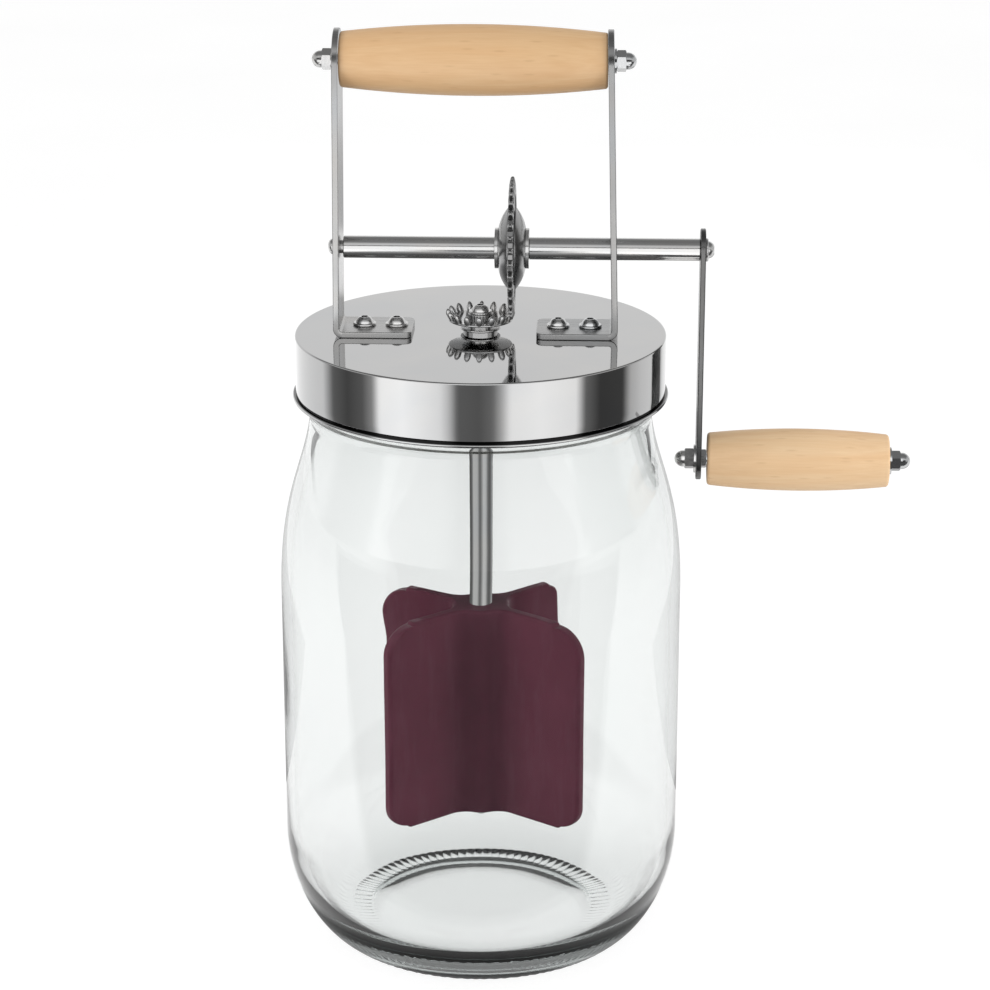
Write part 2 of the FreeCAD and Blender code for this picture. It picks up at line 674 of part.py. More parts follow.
os.makedirs("parts", exist_ok=True)
for name, make in PIECES.items():
    shape = make()
    if not shape.isValid():
        raise ValueError(name + " is not a valid shape")
    shape.exportStep("parts/" + name + ".step")
    print(f"{name:18s} solids {len(shape.Solids)}  volume {shape.Volume:10.1f} mm3")
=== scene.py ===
import math

import bmesh
import bpy
from mathutils import Matrix, Vector, noise

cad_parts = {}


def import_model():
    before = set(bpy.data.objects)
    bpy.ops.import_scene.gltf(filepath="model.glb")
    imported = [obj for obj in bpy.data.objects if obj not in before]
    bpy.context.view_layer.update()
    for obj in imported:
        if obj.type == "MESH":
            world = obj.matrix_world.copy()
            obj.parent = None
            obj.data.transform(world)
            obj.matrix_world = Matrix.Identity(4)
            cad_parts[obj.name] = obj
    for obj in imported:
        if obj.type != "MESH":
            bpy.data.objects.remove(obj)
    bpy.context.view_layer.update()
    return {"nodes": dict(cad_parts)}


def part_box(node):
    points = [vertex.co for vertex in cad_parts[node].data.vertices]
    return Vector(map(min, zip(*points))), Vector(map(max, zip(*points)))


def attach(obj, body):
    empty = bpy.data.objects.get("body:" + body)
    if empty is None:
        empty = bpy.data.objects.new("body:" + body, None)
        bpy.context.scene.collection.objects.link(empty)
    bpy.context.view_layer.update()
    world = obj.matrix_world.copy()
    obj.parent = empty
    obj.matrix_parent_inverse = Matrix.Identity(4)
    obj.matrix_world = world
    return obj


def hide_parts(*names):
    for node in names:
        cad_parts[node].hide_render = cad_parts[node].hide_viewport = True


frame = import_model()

# Looks of a hand-crank butter churn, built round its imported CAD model.
#
# Units are metres, in the CAD model's frame: +Z is up, the jar's axis is Z, the crank points along +X and
# the front faces -Y. MM and MICRON turn millimetres and microns into metres. A piece that replaces a CAD
# node takes its place from that node's box.
MM = 0.001
MICRON = 0.000001
WHITE = (1.0, 1.0, 1.0)

LID_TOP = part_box("lid_shell")[1].z
JAR_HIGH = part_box("glass_jar")[1]


def mid(node):
    low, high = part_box(node)
    return (low + high) / 2


CRANK_Z = mid("drive_gear").z
GEAR_X = mid("drive_gear").x
GRIP_Z = mid("crank_grip").z
CARRY_Z = mid("carry_grip").z


# --- mesh helpers ---------------------------------------------------------------------------------
def finish_mesh(name, bm, sharp_degrees=35.0, weighted=True):
    """Turn a bmesh into a smoothly shaded object whose edges stay sharp above an angle.

    weighted evens out the shading beside large flat faces.
    """
    bmesh.ops.recalc_face_normals(bm, faces=bm.faces)
    mesh = bpy.data.meshes.new(name)
    bm.to_mesh(mesh)
    bm.free()
    mesh.shade_smooth()
    mesh.set_sharp_from_angle(angle=math.radians(sharp_degrees))
    obj = bpy.data.objects.new(name, mesh)
    bpy.context.scene.collection.objects.link(obj)
    if weighted:
        modifier = obj.modifiers.new("even_shading", "WEIGHTED_NORMAL")
        modifier.keep_sharp = True
        modifier.weight = 80
        apply_modifiers(obj)
    return obj


def apply_modifiers(obj):
    """Replace the object's mesh by the one its modifiers make."""
    depsgraph = bpy.context.evaluated_depsgraph_get()
    made = bpy.data.meshes.new_from_object(obj.evaluated_get(depsgraph))
    old = obj.data
    obj.modifiers.clear()
    obj.data = made
    bpy.data.meshes.remove(old)


def arc_points(centre, radius, start, end, steps):
    """Points on an arc from one angle to the other, in degrees, both ends included."""
    angles = [math.radians(start + (end - start) * k / steps) for k in range(steps + 1)]
    return [(centre[0] + radius * math.cos(a), centre[1] + radius * math.sin(a)) for a in angles]


def bezier_points(poles, steps):
    """Points on a cubic curve from its first pole to its last, both ends included."""
    a, b, c, d = (Vector(p) for p in poles)
    points = []
    for k in range(steps + 1):
        t = k / steps
        s = 1 - t
        p = s ** 3 * a + 3 * s * s * t * b + 3 * s * t * t * c + t ** 3 * d
        points.append((p.x, p.y))
    return points


def join_points(*stretches):
    """One list of points, without the repeats where two stretches meet."""
    points = []
    for stretch in stretches:
        for p in stretch:
            if not points or math.dist(p, points[-1]) > 1e-7:
                points.append(p)
    return points


def lathe(bm, outline, steps, place=None, closed=True):
    """Turn (radius, height) points about Z. place(radius, height, angle) may move each point.

    closed joins the outline's last point to its first.
    """
    rings = []
    for radius, height in outline:
        if radius < 1e-9:
            rings.append([bm.verts.new((0, 0, height))])
            continue
        ring = []
        for k in range(steps):
            a = 2 * math.pi * k / steps
            r, h = place(radius, height, a) if place else (radius, height)
            ring.append(bm.verts.new((r * math.cos(a), r * math.sin(a), h)))
        rings.append(ring)
    pairs = list(zip(rings, rings[1:]))
    if closed and (len(rings[0]) > 1 or len(rings[-1]) > 1):
        pairs.append((rings[-1], rings[0]))
    for low, high in pairs:
        for k in range(steps):
            n = (k + 1) % steps
            corners = [low[k % len(low)], low[n % len(low)], high[n % len(high)], high[k % len(high)]]
            unique = list(dict.fromkeys(corners))
            if len(unique) > 2:
                bm.faces.new(unique)
    return rings


def ease(share):
    """Smooth step from 0 to 1, held at both ends."""
    share = min(max(share, 0), 1)
    return share * share * (3 - 2 * share)


def bridge(bm, under, over):
    """Faces between two rings with the same number of points."""
    for k in range(len(under)):
        n = (k + 1) % len(under)
        bm.faces.new([under[k], under[n], over[n], over[k]])


def plate_bmesh(outline, holes, thickness, bevel):
    """Flat plate in XY with rounded edges, from z = 0 to its thickness, with holes through it."""
    curve = bpy.data.curves.new("plate_outline", "CURVE")
    curve.dimensions = "2D"
    curve.fill_mode = "BOTH"
    curve.extrude = thickness / 2 - bevel
    curve.bevel_depth = bevel
    curve.bevel_resolution = 2
    curve.offset = -bevel
    for points in [outline] + holes:
        spline = curve.splines.new("POLY")
        spline.points.add(len(points) - 1)
        for target, p in zip(spline.points, points):
            target.co = (p[0], p[1], 0, 1)
        spline.use_cyclic_u = True
    obj = bpy.data.objects.new("plate_outline", curve)
    bpy.context.scene.collection.objects.link(obj)
    depsgraph = bpy.context.evaluated_depsgraph_get()
    mesh = bpy.data.meshes.new_from_object(obj.evaluated_get(depsgraph))
    bm = bmesh.new()
    bm.from_mesh(mesh)
    bpy.data.objects.remove(obj)
    bpy.data.curves.remove(curve)
    bpy.data.meshes.remove(mesh)
    bmesh.ops.remove_doubles(bm, verts=bm.verts, dist=1e-6)
    bmesh.ops.translate(bm, verts=bm.verts, vec=(0, 0, thickness / 2))
    return bm


def circle_points(centre, radius, steps=48):
    return arc_points(centre, radius, 0, 360, steps)[:-1]


# --- shader helpers -------------------------------------------------------------------------------
class Nodes:
    """Short calls that add nodes to a shader tree and give back their outputs."""

    def __init__(self, tree):
        self.tree = tree

    def node(self, kind, inputs=(), **settings):
        """Add a node with its own settings, and with values for its inputs by name."""
        made = self.tree.nodes.new(kind)
        for key, value in settings.items():
            setattr(made, key, value)
        for key, value in dict(inputs).items():
            made.inputs[key].default_value = value
        return made

    def link(self, a, b):
        self.tree.links.new(a, b)

    def put(self, value, socket):
        """Feed a socket from an output, a colour or a number."""
        if isinstance(value, bpy.types.NodeSocket):
            self.link(value, socket)
        elif isinstance(value, tuple):
            socket.default_value = (*value, 1)
        else:
            socket.default_value = value

    def sums(self, operation, first, second):
        made = self.node("ShaderNodeMath", operation=operation)
        self.put(first, made.inputs[0])
        self.put(second, made.inputs[1])
        return made.outputs["Value"]

    def axis(self, vector, letter):
        made = self.node("ShaderNodeSeparateXYZ")
        self.link(vector, made.inputs["Vector"])
        return made.outputs[letter]

    def length(self, vector):
        made = self.node("ShaderNodeVectorMath", operation="LENGTH")
        self.link(vector, made.inputs[0])
        return made.outputs["Value"]

    def spread(self, value, low, high, from_low=0.3, from_high=0.7):
        """Map a pattern's usual range onto low to high."""
        limits = {"From Min": from_low, "From Max": from_high, "To Min": low, "To Max": high}
        made = self.node("ShaderNodeMapRange", limits)
        self.link(value, made.inputs["Value"])
        return made.outputs["Result"]

    def ramp(self, value, *stops):
        """Colours at positions along a pattern."""
        made = self.node("ShaderNodeValToRGB")
        stop_list = made.color_ramp.elements
        while len(stop_list) < len(stops):
            stop_list.new(0.5)
        for element, (position, colour) in zip(stop_list, stops):
            element.position = position
            element.color = (*colour, 1)
        self.link(value, made.inputs["Fac"])
        return made.outputs["Color"]

    def blend(self, factor, first, second, mode="MIX"):
        """Mix two colours by a factor."""
        made = self.node("ShaderNodeMix", data_type="RGBA", blend_type=mode)
        for name, value in (("Factor", factor), ("A", first), ("B", second)):
            self.put(value, made.inputs[name])
        return made.outputs["Result"]

    def path_kinds(self):
        """Three switches: 1 for a ray a matt surface sent on, for one only mirrors did, for one in glass."""
        path = self.node("ShaderNodeLightPath")
        matt, mirrored, inside = (self.sums("MINIMUM", path.outputs[kind + " Depth"], 1.0)
                                  for kind in ("Diffuse", "Glossy", "Transmission"))
        return matt, self.sums("MULTIPLY", mirrored, self.sums("SUBTRACT", 1.0, matt)), inside


class Look(Nodes):
    """A material with one Principled shader."""

    def __init__(self, name, **constants):
        self.material = bpy.data.materials.new(name)
        self.material.use_nodes = True
        super().__init__(self.material.node_tree)
        self.shader = self.tree.nodes["Principled BSDF"]
        self.bump_chain = None
        for key, value in constants.items():
            self.shader.inputs[key.replace("_", " ")].default_value = value

    def coordinates(self, scale=(1, 1, 1), move=(0, 0, 0), turn=(0, 0, 0)):
        """The mesh's own coordinates in metres, moved, turned and stretched."""
        source = self.node("ShaderNodeTexCoord")
        mapping = self.node("ShaderNodeMapping", {"Location": move, "Rotation": turn, "Scale": scale})
        self.link(source.outputs["Object"], mapping.inputs["Vector"])
        return mapping.outputs["Vector"]

    def grain(self, where, scale, detail=3.0, roughness=0.55, distortion=0.0):
        numbers = {"Scale": scale, "Detail": detail, "Roughness": roughness, "Distortion": distortion}
        made = self.node("ShaderNodeTexNoise", numbers)
        self.link(where, made.inputs["Vector"])
        return made.outputs["Fac"]

    def colour(self, value):
        self.link(value, self.shader.inputs["Base Color"])

    def roughness(self, value):
        self.link(value, self.shader.inputs["Roughness"])

    def bump(self, height, depth, strength=1.0):
        """Add relief; depth is its height."""
        made = self.node("ShaderNodeBump", {"Strength": strength, "Distance": depth})
        self.link(height, made.inputs["Height"])
        if self.bump_chain:
            self.link(self.bump_chain, made.inputs["Normal"])
        self.bump_chain = made.outputs["Normal"]
        self.link(self.bump_chain, self.shader.inputs["Normal"])


def steel(name, tone, low, high, stretch, grain_scale, brush_depth, smudge=0.04):
    """Bare steel: tone is its brightness, low to high its roughness, stretch the brushing's direction."""
    look = Look(name, Metallic=1.0)
    brushed = look.grain(look.coordinates(scale=stretch), grain_scale, detail=4.0)
    smudges = look.grain(look.coordinates(), 38.0, detail=2.0)
    warm = (tone * 1.02, tone, tone * 0.975)
    cool = (tone * 0.93, tone * 0.945, tone * 0.96)
    look.colour(look.ramp(smudges, (0.32, cool), (0.68, warm)))
    fine = look.spread(brushed, low, high)
    look.roughness(look.sums("ADD", fine, look.spread(smudges, 0.0, smudge)))
    look.bump(brushed, brush_depth)
    return look


def lid_look():
    """Mirror-polished sheet: crisp on top, a little softer round the skirt, with faint wiping marks."""
    look = Look("lid_polished_steel", Metallic=1.0)
    smudges = look.grain(look.coordinates(), 22.0, detail=3.0, distortion=0.6)
    wiped = look.grain(look.coordinates(scale=(1.0, 7.0, 1.0), turn=(0, 0, 0.5)), 60.0, detail=4.0)
    look.colour(look.ramp(smudges, (0.3, (0.412, 0.417, 0.423)), (0.7, (0.447, 0.443, 0.438))))
    facing = look.node("ShaderNodeNewGeometry").outputs["Normal"]
    base = look.spread(look.axis(facing, "Z"), 0.05, 0.035, 0.2, 0.95)
    marks = look.sums("MULTIPLY", look.spread(smudges, 0.0, 0.03), look.spread(wiped, 0.3, 1.0))
    look.roughness(look.sums("ADD", base, marks))
    peel = look.grain(look.coordinates(), 420.0, detail=2.0)
    look.bump(peel, 1.5 * MICRON)
    return look


def painted_groove_shade(look, low, high):
    """Paint shade into a steel look between two heights: a dark band where the groove lies in shadow."""
    height = look.axis(look.coordinates(), "Z")
    soft = 0.2 * MM
    band = look.sums("MULTIPLY", look.spread(height, 0, 1, low - soft, low),
                     look.spread(height, 1, 0, high, high + soft))
    unshaded = look.shader.inputs["Base Color"].links[0].from_socket
    # painted shade: the groove's band is darkened almost to black
    look.colour(look.blend(look.sums("MULTIPLY", band, 0.93), unshaded, (0.02, 0.02, 0.02)))


def turned_steel(name, tone, centre, low, high, spacing):
    """Steel with the fine rings that turning leaves round the X axis through centre."""
    look = Look(name, Metallic=1.0)
    where = look.coordinates(move=tuple(-c for c in centre))
    rings = look.node("ShaderNodeTexWave", {"Scale": 1 / spacing, "Distortion": 0.6, "Detail": 2.0},
                      wave_type="RINGS", rings_direction="X", wave_profile="SIN")
    look.link(where, rings.inputs["Vector"])
    patches = look.grain(where, 95.0, detail=3.0)
    dull, bright = (tone * 0.82, tone * 0.82, tone * 0.83), (tone, tone, tone * 0.99)
    look.colour(look.ramp(patches, (0.3, dull), (0.7, bright)))
    look.roughness(look.sums("ADD", look.spread(rings.outputs["Fac"], low, high, 0, 1),
                             look.spread(patches, 0.0, 0.06)))
    look.bump(rings.outputs["Fac"], 6 * MICRON)
    return look


def glass_look():
    """Clear pressed glass with the slow unevenness of its walls."""
    look = Look("clear_glass", Roughness=0.0, IOR=1.5, Transmission_Weight=1.0)
    where = look.coordinates(scale=(1, 1, 0.55))
    slow = look.grain(where, 26.0, detail=1.0)
    look.colour(look.ramp(slow, (0.3, (0.982, 0.992, 0.988)), (0.7, (0.992, 0.997, 0.995))))
    fine = look.grain(where, 90.0, detail=1.5)
    look.bump(slow, 400 * MICRON, 0.30)
    look.bump(fine, 60 * MICRON, 0.25)
    depth = look.node("ShaderNodeVolumeAbsorption", {"Color": (0.36, 0.41, 0.40, 1), "Density": 25.0})
    look.link(depth.outputs["Volume"], look.tree.nodes["Material Output"].inputs["Volume"])
    return look


def beech_look(name, shade, move):
    """Pale turned beech: grain along X, short darker flecks, a satin surface. shade tints the whole."""
    look = Look(name, Specular_IOR_Level=0.35)
    lengthwise = look.coordinates(scale=(0.07, 1, 1), move=move, turn=(0, 0, 0.04))
    bands = look.grain(lengthwise, 105.0, detail=3.0, distortion=0.9)
    fibres = look.grain(look.coordinates(scale=(0.035, 1, 1)), 1500.0, detail=4.0)
    patches = look.grain(look.coordinates(scale=(0.5, 1, 1)), 24.0, detail=2.0)
    pale, tan, brown = (0.88, 0.62, 0.375), (0.79, 0.505, 0.275), (0.68, 0.405, 0.205)
    wood = look.ramp(bands, (0.28, tan), (0.46, pale), (0.60, (0.85, 0.565, 0.32)), (0.74, tan))
    wood = look.blend(look.spread(fibres, 0.0, 0.30), wood, brown)
    wood = look.blend(look.spread(patches, 0.0, 0.30), wood, (0.92, 0.70, 0.42))
    flecks = look.node("ShaderNodeTexVoronoi", {"Scale": 420.0}, feature="F1")
    look.link(look.coordinates(scale=(0.18, 1, 1)), flecks.inputs["Vector"])
    spots = look.spread(flecks.outputs["Distance"], 0.20, 0.0, 0.08, 0.22)
    wood = look.blend(spots, wood, (0.50, 0.27, 0.12))
    look.colour(look.blend(1.0, wood, shade, mode="MULTIPLY"))
    look.roughness(look.spread(fibres, 0.42, 0.56))
    look.bump(fibres, 30 * MICRON, 0.5)
    look.bump(flecks.outputs["Distance"], 20 * MICRON, 0.3)
    return look


def plum_look():
    """Moulded plum plastic with shade painted in towards the shaft, fine grain, slow colour drift and dull
    scuffs.
    """
    look = Look("plum_plastic", Specular_IOR_Level=0.16)
    slow = look.grain(look.coordinates(), 30.0, detail=2.0)
    scuffs = look.grain(look.coordinates(scale=(1, 1, 0.2)), 150.0, detail=5.0, roughness=0.65)
    skin = look.grain(look.coordinates(), 2600.0, detail=2.0)
    body = look.ramp(slow, (0.3, (0.106, 0.0235, 0.043)), (0.7, (0.132, 0.0320, 0.056)))
    body = look.blend(look.spread(scuffs, 0.0, 0.16, 0.5, 0.75), body, (0.24, 0.12, 0.155))
    # painted shade: the plum is darkened towards the shaft, where the vanes meet
    from_axis = look.length(look.coordinates(scale=(1, 1, 0)))
    painted_shade_near_shaft = look.spread(from_axis, 0.45, 0.0, 8 * MM, 24 * MM)
    look.colour(look.blend(painted_shade_near_shaft, body, (0.055, 0.020, 0.032)))
    look.roughness(look.spread(scuffs, 0.30, 0.48))
    look.bump(skin, 1.2 * MICRON, 0.5)
    look.bump(slow, 300 * MICRON, 0.12)
    return look


def rubbery_look(name, light, dark, low, high):
    """Moulded rubber or matt plastic, mottled between two tones."""
    look = Look(name)
    slow = look.grain(look.coordinates(), 60.0, detail=3.0)
    skin = look.grain(look.coordinates(), 1800.0, detail=2.0)
    look.colour(look.ramp(slow, (0.3, dark), (0.7, light)))
    look.roughness(look.spread(skin, low, high))
    look.bump(skin, 20 * MICRON, 0.4)
    return look


ALONG_STRIP = (0.03, 1, 0.03)
LID_GROOVE = (JAR_HIGH.z - 18.7 * MM, JAR_HIGH.z - 17.95 * MM)      # its lower and upper edge
LOOKS = {
    "lid": lid_look(),
    "arm": steel("satin_arm", 0.145, 0.20, 0.34, ALONG_STRIP, 1400.0, 4.5 * MICRON),
    "strip": steel("satin_strip", 0.40, 0.20, 0.34, ALONG_STRIP, 1400.0, 4.5 * MICRON),
    # painted shade: the right bracket's steel is the left one's, made darker
    "right_strip": steel("satin_right_strip", 0.33, 0.20, 0.34, ALONG_STRIP, 1400.0, 4.5 * MICRON),
    "shaft_x": steel("polished_shaft", 0.60, 0.08, 0.15, (1, 0.3, 0.3), 900.0, 1.5 * MICRON),
    "shaft_z": steel("polished_dasher_shaft", 0.56, 0.05, 0.10, (0.3, 0.3, 1), 900.0, 1.5 * MICRON),
    "hardware": steel("plated_hardware", 0.58, 0.12, 0.22, (1, 1, 1), 1100.0, 3 * MICRON, smudge=0.06),
    "gear": turned_steel("turned_gear_steel", 0.29, (0, 0, CRANK_Z), 0.14, 0.24, 1.6 * MM),
    "pinion": steel("pinion_steel", 0.50, 0.10, 0.18, (1, 1, 1), 700.0, 0.4 * MICRON),
    "glass": glass_look(),
    "beech": beech_look("beech_hand_grip", WHITE, (0.0, 0.013, 0.007)),
    "beech_carry": beech_look("beech_carry_grip", (0.84, 0.775, 0.70), (0.0, 0.0, 0.0)),
    "plum": plum_look(),
    "liner": rubbery_look("white_liner", (0.80, 0.79, 0.75), (0.72, 0.71, 0.67), 0.34, 0.46),
    "silicone": rubbery_look("milky_silicone", (0.72, 0.72, 0.70), (0.62, 0.62, 0.60), 0.42, 0.58),
}
# paints shade into the lid's groove
painted_groove_shade(LOOKS["lid"], *LID_GROOVE)
SLOT_LOOK = {
    "polished_steel": "lid",
    "satin_steel": "strip",
    "hardware_steel": "hardware",
    "gear_steel": "gear",
    "beech": "beech",
    "paddle_plastic": "plum",
    "liner_plastic": "liner",
    "silicone": "silicone",
    "clear_glass": "glass",
}
NODE_LOOK = {
    "left_shaft_tube": "shaft_x",
    "right_shaft_tube": "shaft_x",
    "dasher_shaft": "shaft_z",
    "carry_grip": "beech_carry",
}


def stand_for(piece, look, body, node):
    """Paint the piece, let it ride on a body and replace a CAD node."""
    piece.data.materials.clear()
    piece.data.materials.append(LOOKS[look].material)
    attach(piece, body)
    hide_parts(node)


def dress_cad_nodes():
    """Give each CAD node its procedural material."""
    for name, obj in frame["nodes"].items():
        for holder in obj.material_slots:
            look = NODE_LOOK.get(name) or SLOT_LOOK[holder.material.name.split(".")[0]]
            holder.material = LOOKS[look].material
    for name in ("carry_grip", "crank_grip"):
        frame["nodes"][name].visible_glossy = False     # keeps the wood's colour out of the steel


# --- glass jar ------------------------------------------------------------------------------------
JAR_R = JAR_HIGH.x
JAR_STEPS = 384
NECK_R = 62.8 * MM
HEEL_H = 42.5 * MM
BODY_TOP = 143 * MM
NECK_BASE = 212 * MM
WALL = 3.7 * MM
RIBS = 4
RIB_LOW, RIB_TOP = 223 * MM, 226 * MM
RIB_OUT = 2.4 * MM
RIB_HALF_ARC = math.radians(20)
RIB_RUN_IN = math.radians(2.5)      # the angle over which a rib fades into the neck at each end
KNURLS, KNURL_DEPTH = 96, 0.22 * MM
LIP_R = 1.3 * MM
WALL_RINGS = 24


def jar_outside():
    """The jar's outer outline from the middle of its push-up to the top of its rim."""
    foot_r, ring_r, push_up = 53.6 * MM, 46.0 * MM, 4.2 * MM
    dome_edge, foot_edge = (ring_r - 1.5 * MM, 0.5 * MM), (ring_r + 1.5 * MM, 0)
    shoulder_r, bead_r, bead_z = 65.2 * MM, 67.0 * MM, 218.2 * MM
    fade = 0.5 * MM
    neck_heights = (221 * MM, RIB_LOW - fade, RIB_LOW, RIB_LOW + fade,
                    RIB_TOP - fade, RIB_TOP, RIB_TOP + fade, JAR_HIGH.z - 5 * MM)
    return join_points(
        bezier_points([(0, push_up), (24 * MM, push_up), (36 * MM, 2.6 * MM), dome_edge], 22),
        bezier_points([dome_edge, (ring_r, 0), (ring_r, 0), foot_edge], 6),
        bezier_points([(foot_r, 0), (65.6 * MM, 0), (JAR_R, 21.5 * MM), (JAR_R, HEEL_H)], 44),
        [(JAR_R, HEEL_H + (BODY_TOP - HEEL_H) * k / WALL_RINGS) for k in range(WALL_RINGS + 1)],
        bezier_points([(JAR_R, BODY_TOP), (JAR_R, 181 * MM),
                       (67.8 * MM, 191 * MM), (shoulder_r, NECK_BASE)], 48),
        bezier_points([(shoulder_r, NECK_BASE), (64.9 * MM, 216.8 * MM),
                       (bead_r, 216.8 * MM), (bead_r, bead_z)], 10),
        bezier_points([(bead_r, bead_z), (bead_r, 219.5 * MM),
                       (64.2 * MM, 219.2 * MM), (NECK_R, 220.2 * MM)], 8),
        [(NECK_R, z) for z in neck_heights],
        arc_points((NECK_R - LIP_R, JAR_HIGH.z - LIP_R), LIP_R, 0, 90, 6))


def jar_inside():
    """The jar's inner outline from the top of its rim down to the middle of its floor."""
    inner_r = JAR_R - WALL
    neck_in = NECK_R - 3.5 * MM
    neck_low, wall_top, wall_low = NECK_BASE - 1 * MM, BODY_TOP - 2 * MM, HEEL_H + 3.5 * MM
    middle, edge, edge_r = 8.6 * MM, 6.4 * MM, 40 * MM
    return join_points(
        arc_points((neck_in + LIP_R, JAR_HIGH.z - LIP_R), LIP_R, 90, 180, 6),
        [(neck_in, JAR_HIGH.z - (JAR_HIGH.z - neck_low) * k / 6) for k in range(1, 7)],
        bezier_points([(neck_in, neck_low), (63.4 * MM, 192 * MM),
                       (inner_r, 178 * MM), (inner_r, wall_top)], 48),
        [(inner_r, wall_top + (wall_low - wall_top) * k / WALL_RINGS) for k in range(WALL_RINGS + 1)],
        bezier_points([(inner_r, wall_low), (inner_r, 21 * MM), (63 * MM, edge), (edge_r, edge)], 44),
        bezier_points([(edge_r, edge), (30 * MM, edge), (18 * MM, middle), (0, middle)], 20))


def rib_reach(height, angle):
    """How far a closure rib stands out of the neck at this height and angle."""
    near = 0.1 * MM
    if not RIB_LOW - near < height < RIB_TOP + near:
        return 0.0
    spacing = 2 * math.pi / RIBS
    off = abs(angle % spacing - spacing / 2)
    edge = 0.86 if min(abs(height - RIB_LOW), abs(height - RIB_TOP)) < near else 1.0
    return RIB_OUT * edge * ease((RIB_HALF_ARC - off) / RIB_RUN_IN)


def uneven(height, angle, depth):
    """Slow unevenness of a pressed wall, with no seam where the angle starts again."""
    where = Vector((math.cos(angle) * 1.6, math.sin(angle) * 1.6, height * 22))
    return depth * noise.noise(where)


def jar_outer_place(radius, height, angle):
    """Outer surface: ribs on the neck, knurling under the base and round the foot, an uneven shoulder."""
    r = radius + rib_reach(height, angle)
    z = height
    knurl_low, knurl_high = 45.5 * MM, 54 * MM
    if height < 0.3 * MM and knurl_low < radius < knurl_high:
        z += KNURL_DEPTH * (0.5 + 0.5 * math.cos(KNURLS * angle))
    foot_top = 3.4 * MM
    if height < foot_top and radius > knurl_high:
        fade = math.sin(math.pi * min(height / foot_top, 1))
        phase = 0.9 * noise.noise(Vector((math.cos(angle) * 9, math.sin(angle) * 9, height * 900)))
        r += KNURL_DEPTH * fade * math.cos(KNURLS * angle + phase * math.pi)
    if HEEL_H < height < NECK_BASE and radius < JAR_R - 0.2 * MM:
        r += uneven(height, angle, 0.10 * MM)
    return r, z


def jar_inner_place(radius, height, angle):
    return radius + uneven(height, angle + 1.3, 0.28 * MM), height


def glass_jar():
    bm = bmesh.new()
    outer = lathe(bm, jar_outside(), JAR_STEPS, jar_outer_place, closed=False)
    inner = lathe(bm, jar_inside(), JAR_STEPS, jar_inner_place, closed=False)
    bridge(bm, outer[-1], inner[0])
    jar = finish_mesh("jar_glass", bm, sharp_degrees=80, weighted=False)
    jar.visible_shadow = False          # light goes straight through, as it does through clear glass
    stand_for(jar, "glass", "jar", "glass_jar")


def sealing_ring():
    """Silicone gasket with rounded edges and two shallow grooves in each face."""
    low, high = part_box("sealing_ring")
    outer, inner = high.x, 58.2 * MM
    height = high.z - low.z
    corner, depth = 0.4 * MM, 0.25 * MM
    grooves, steps = 2, 48
    top = []
    for k in range(steps + 1):
        share = k / steps
        drop = depth * (0.5 - 0.5 * math.cos(2 * math.pi * grooves * share)) * (0 < share < 1)
        top.append((outer - corner - (outer - inner - 2 * corner) * share, drop))
    outline = join_points(
        arc_points((outer - corner, low.z + corner), corner, -90, 0, 4),
        arc_points((outer - corner, high.z - corner), corner, 0, 90, 4),
        [(r, high.z - drop) for r, drop in top],
        arc_points((inner + corner, high.z - corner), corner, 90, 180, 4),
        arc_points((inner + corner, low.z + corner), corner, 180, 270, 4),
        [(r, low.z + min(drop, height / 4)) for r, drop in reversed(top)])
    bm = bmesh.new()
    lathe(bm, outline[:-1], 192)
    ring = finish_mesh("sealing_gasket", bm)
    stand_for(ring, "silicone", "seal", "sealing_ring")


def lid_cap():
    """Pressed lid: a flat top with a small edge radius, a plain skirt, and a bead below a narrow groove."""
    low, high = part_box("lid_shell")
    top, skirt_r, sheet = high.z, 70.3 * MM, 1.0 * MM
    edge, bush_r = 0.7 * MM, 6.1 * MM
    bead, groove = 0.65 * MM, 0.75 * MM
    bead_at = (high.x - bead, low.z + bead)
    bead_top = low.z + 2 * bead
    inner, groove_r = skirt_r - sheet, skirt_r - 0.8 * MM
    outline = join_points(
        [(bush_r, top)],
        [(bush_r + (skirt_r - edge - bush_r) * k / 12, top) for k in range(1, 12)],
        arc_points((skirt_r - edge, top - edge), edge, 90, 0, 10),
        [(skirt_r, top - edge - (top - edge - bead_top - groove - 0.3 * MM) * k / 8) for k in range(1, 9)],
        [(skirt_r - 0.15 * MM, bead_top + groove), (groove_r, bead_top + groove * 0.6), (groove_r, bead_top)],
        arc_points(bead_at, bead, 100, -180, 26),
        [(inner, bead_at[1] + 0.4 * MM), (inner, top - sheet - 0.5 * MM)],
        [(inner - 0.5 * MM, top - sheet), (bush_r, top - sheet)])
    bm = bmesh.new()
    lathe(bm, outline, 256)
    cap = finish_mesh("lid_cap", bm, sharp_degrees=50)
    stand_for(cap, "lid", "lid", "lid_shell")


# --- brackets and crank arm -----------------------------------------------------------------------
STRIP_W = 23 * MM
STRIP_T = 2.3 * MM
BEND_IN = 1.2 * MM
STRIP_BEVEL = 0.35 * MM
BOLT_HOLE_R = 2.1 * MM


